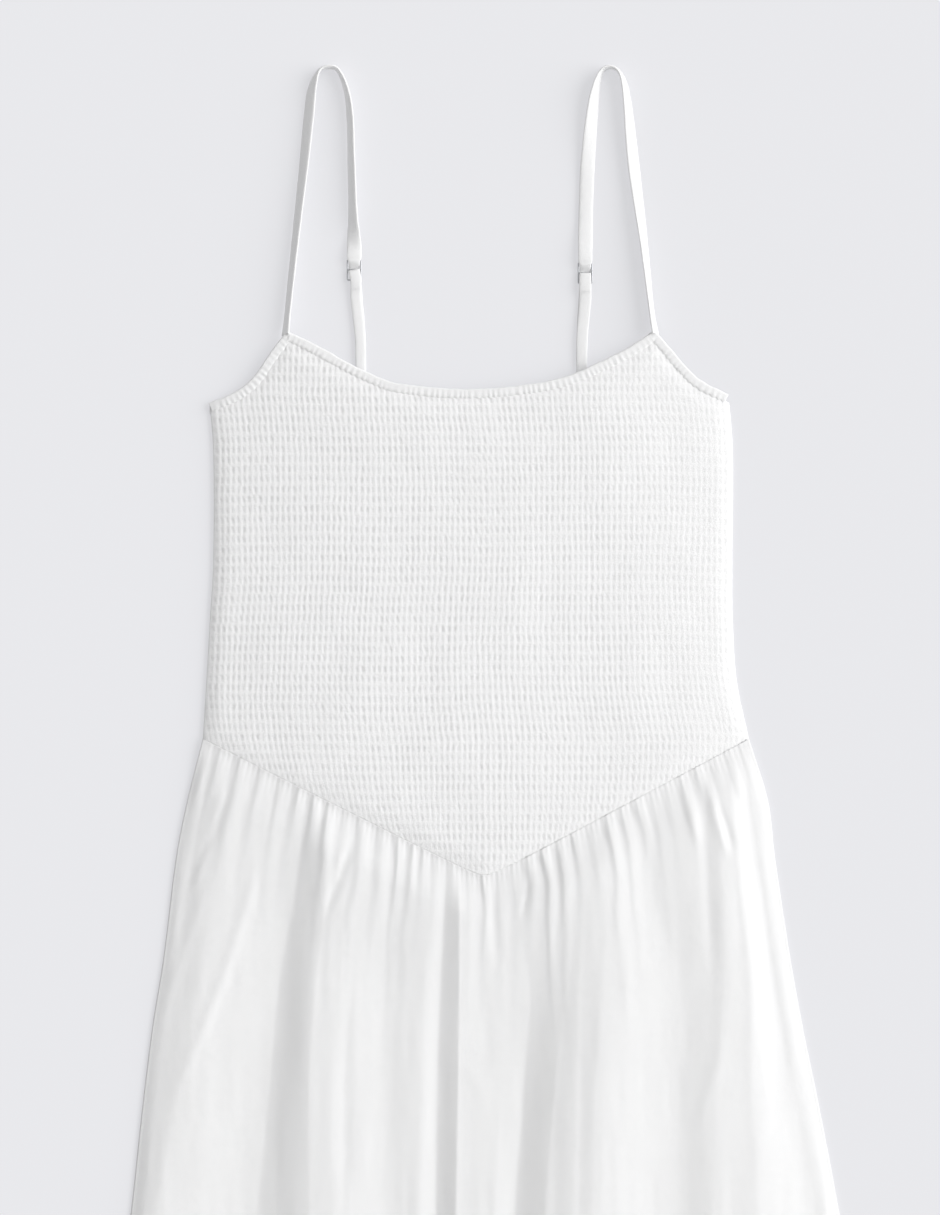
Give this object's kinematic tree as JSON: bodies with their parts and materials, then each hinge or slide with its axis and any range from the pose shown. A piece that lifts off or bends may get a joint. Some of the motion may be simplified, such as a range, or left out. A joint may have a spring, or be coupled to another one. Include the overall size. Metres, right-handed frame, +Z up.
{
  "type": "sleeveless smocked dress laid flat",
  "caption": "Sleeveless summer dress laid flat: smocked bodice with a V-shaped dropped waist, gathered skirt, bound neckline and thin straps with sliders.",
  "frame": {"origin": "middle of the dress's outline as it lies, on the surface under it", "axes": "+Z up from the surface, +Y from the hem towards the straps, +X to the right as seen from above with the straps away from the viewer"},
  "size_m": [0.512, 0.8801, 0.0194],
  "materials": {
    "cotton": "matt, fine plain weave",
    "smocked_cotton": "matt, smocked with elastic thread",
    "slider_metal": "plain bright metal"
  },
  "bodies": {
    "root": {"bodice_front": "smocked_cotton", "bodice_back": "smocked_cotton", "neckline_binding": "cotton", "armhole_binding_left": "cotton", "armhole_binding_right": "cotton", "back_neck_binding": "cotton", "skirt_front": "cotton", "skirt_back": "cotton", "strap_left": "cotton", "strap_right": "cotton", "strap_return_left": "cotton", "strap_return_right": "cotton", "slider_left": "slider_metal", "slider_right": "slider_metal"}
  },
  "joints": []
}
